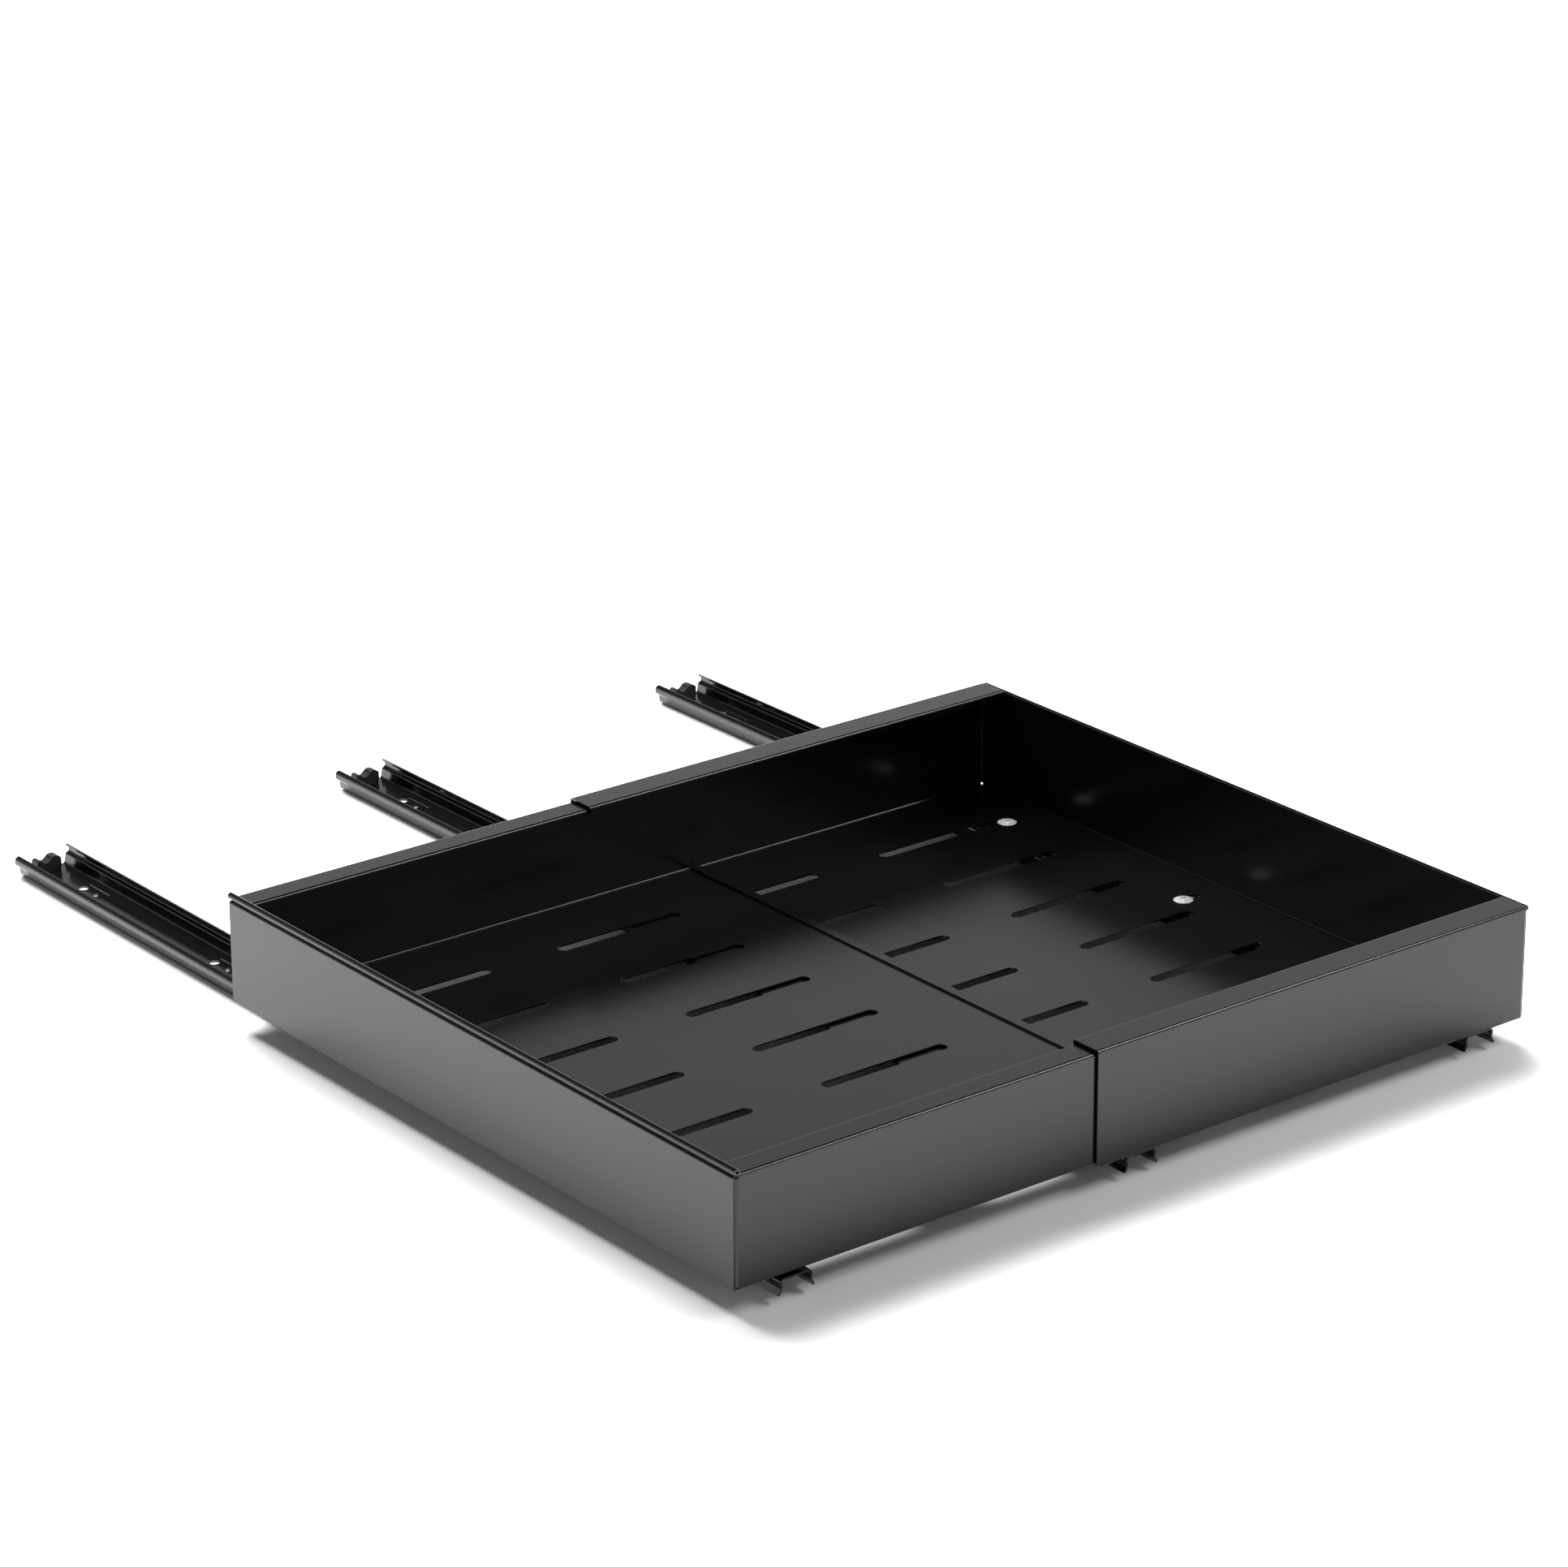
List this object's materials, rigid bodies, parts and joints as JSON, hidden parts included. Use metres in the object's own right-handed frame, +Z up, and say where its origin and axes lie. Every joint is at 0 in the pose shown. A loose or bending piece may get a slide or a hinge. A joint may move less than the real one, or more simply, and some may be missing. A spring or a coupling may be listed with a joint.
{
  "type": "widening pull-out drawer",
  "caption": "Shallow black steel pull-out drawer that widens by telescoping trays and rides on ball-bearing slides laid flat under its floor.",
  "frame": {"origin": "centre of the footprint at rest, on the surface the rails are screwed to", "axes": "+Z up, front of the drawer towards -Y, +X to the right as seen from the front"},
  "size_m": [0.6366, 0.85, 0.0943],
  "materials": {
    "powder_coat": "satin black powder coat",
    "slide_black": "glossy black electro-coat",
    "steel_bright": "bright zinc plate",
    "screw_plate": "nickel plate",
    "bumper_rubber": "matte rubber"
  },
  "bodies": {
    "rails": {"mid_outer_rail": "slide_black", "right_outer_rail": "slide_black", "mid_bumper": "bumper_rubber", "right_bumper": "bumper_rubber"},
    "right_drawer": {"right_tray": "powder_coat", "mid_inner_rail": "slide_black", "right_inner_rail": "slide_black", "right_screws": "screw_plate", "right_nuts": "steel_bright", "mid_rivets": "steel_bright"},
    "left_drawer": {"left_tray": "powder_coat", "left_inner_rail": "slide_black", "left_spacers": "steel_bright", "left_screws": "screw_plate", "left_nuts": "steel_bright"},
    "left_rail": {"left_outer_rail": "slide_black", "left_bumper": "bumper_rubber"},
    "left_middle": {"left_middle_rail": "slide_black"},
    "left_outer_race": {"left_outer_cage": "steel_bright", "left_outer_balls": "steel_bright"},
    "left_inner_race": {"left_inner_cage": "steel_bright", "left_inner_balls": "steel_bright"},
    "mid_middle": {"mid_middle_rail": "slide_black"},
    "mid_outer_race": {"mid_outer_cage": "steel_bright", "mid_outer_balls": "steel_bright"},
    "mid_inner_race": {"mid_inner_cage": "steel_bright", "mid_inner_balls": "steel_bright"},
    "right_middle": {"right_middle_rail": "slide_black"},
    "right_outer_race": {"right_outer_cage": "steel_bright", "right_outer_balls": "steel_bright"},
    "right_inner_race": {"right_inner_cage": "steel_bright", "right_inner_balls": "steel_bright"}
  },
  "joints": [
    {"name": "drawer_pull", "type": "slide", "parent": "rails", "child": "right_drawer", "axis": [0, -1, 0], "range_m": [-0.342, 0.118]},
    {"name": "width_adjust", "type": "slide", "parent": "right_drawer", "child": "left_drawer", "axis": [1, 0, 0], "range_m": [0, 0.216]},
    {"name": "left_rail_shift", "type": "slide", "parent": "rails", "child": "left_rail", "axis": [1, 0, 0], "range_m": [0, 0.216]},
    {"name": "left_middle_slide", "type": "slide", "parent": "left_rail", "child": "left_middle", "axis": [0, -1, 0], "range_m": [-0.171, 0.059]},
    {"name": "left_outer_race_roll", "type": "slide", "parent": "left_rail", "child": "left_outer_race", "axis": [0, -1, 0], "range_m": [-0.0855, 0.0295]},
    {"name": "left_inner_race_roll", "type": "slide", "parent": "left_middle", "child": "left_inner_race", "axis": [0, -1, 0], "range_m": [-0.0855, 0.0295]},
    {"name": "mid_middle_slide", "type": "slide", "parent": "rails", "child": "mid_middle", "axis": [0, -1, 0], "range_m": [-0.171, 0.059]},
    {"name": "mid_outer_race_roll", "type": "slide", "parent": "rails", "child": "mid_outer_race", "axis": [0, -1, 0], "range_m": [-0.0855, 0.0295]},
    {"name": "mid_inner_race_roll", "type": "slide", "parent": "mid_middle", "child": "mid_inner_race", "axis": [0, -1, 0], "range_m": [-0.0855, 0.0295]},
    {"name": "right_middle_slide", "type": "slide", "parent": "rails", "child": "right_middle", "axis": [0, -1, 0], "range_m": [-0.171, 0.059]},
    {"name": "right_outer_race_roll", "type": "slide", "parent": "rails", "child": "right_outer_race", "axis": [0, -1, 0], "range_m": [-0.0855, 0.0295]},
    {"name": "right_inner_race_roll", "type": "slide", "parent": "right_middle", "child": "right_inner_race", "axis": [0, -1, 0], "range_m": [-0.0855, 0.0295]}
  ],
  "couplings": [
    {"joint": "left_rail_shift", "follows": "width_adjust", "ratio": 1},
    {"joint": "left_middle_slide", "follows": "drawer_pull", "ratio": 0.5},
    {"joint": "left_outer_race_roll", "follows": "drawer_pull", "ratio": 0.25},
    {"joint": "left_inner_race_roll", "follows": "drawer_pull", "ratio": 0.25},
    {"joint": "mid_middle_slide", "follows": "drawer_pull", "ratio": 0.5},
    {"joint": "mid_outer_race_roll", "follows": "drawer_pull", "ratio": 0.25},
    {"joint": "mid_inner_race_roll", "follows": "drawer_pull", "ratio": 0.25},
    {"joint": "right_middle_slide", "follows": "drawer_pull", "ratio": 0.5},
    {"joint": "right_outer_race_roll", "follows": "drawer_pull", "ratio": 0.25},
    {"joint": "right_inner_race_roll", "follows": "drawer_pull", "ratio": 0.25}
  ]
}
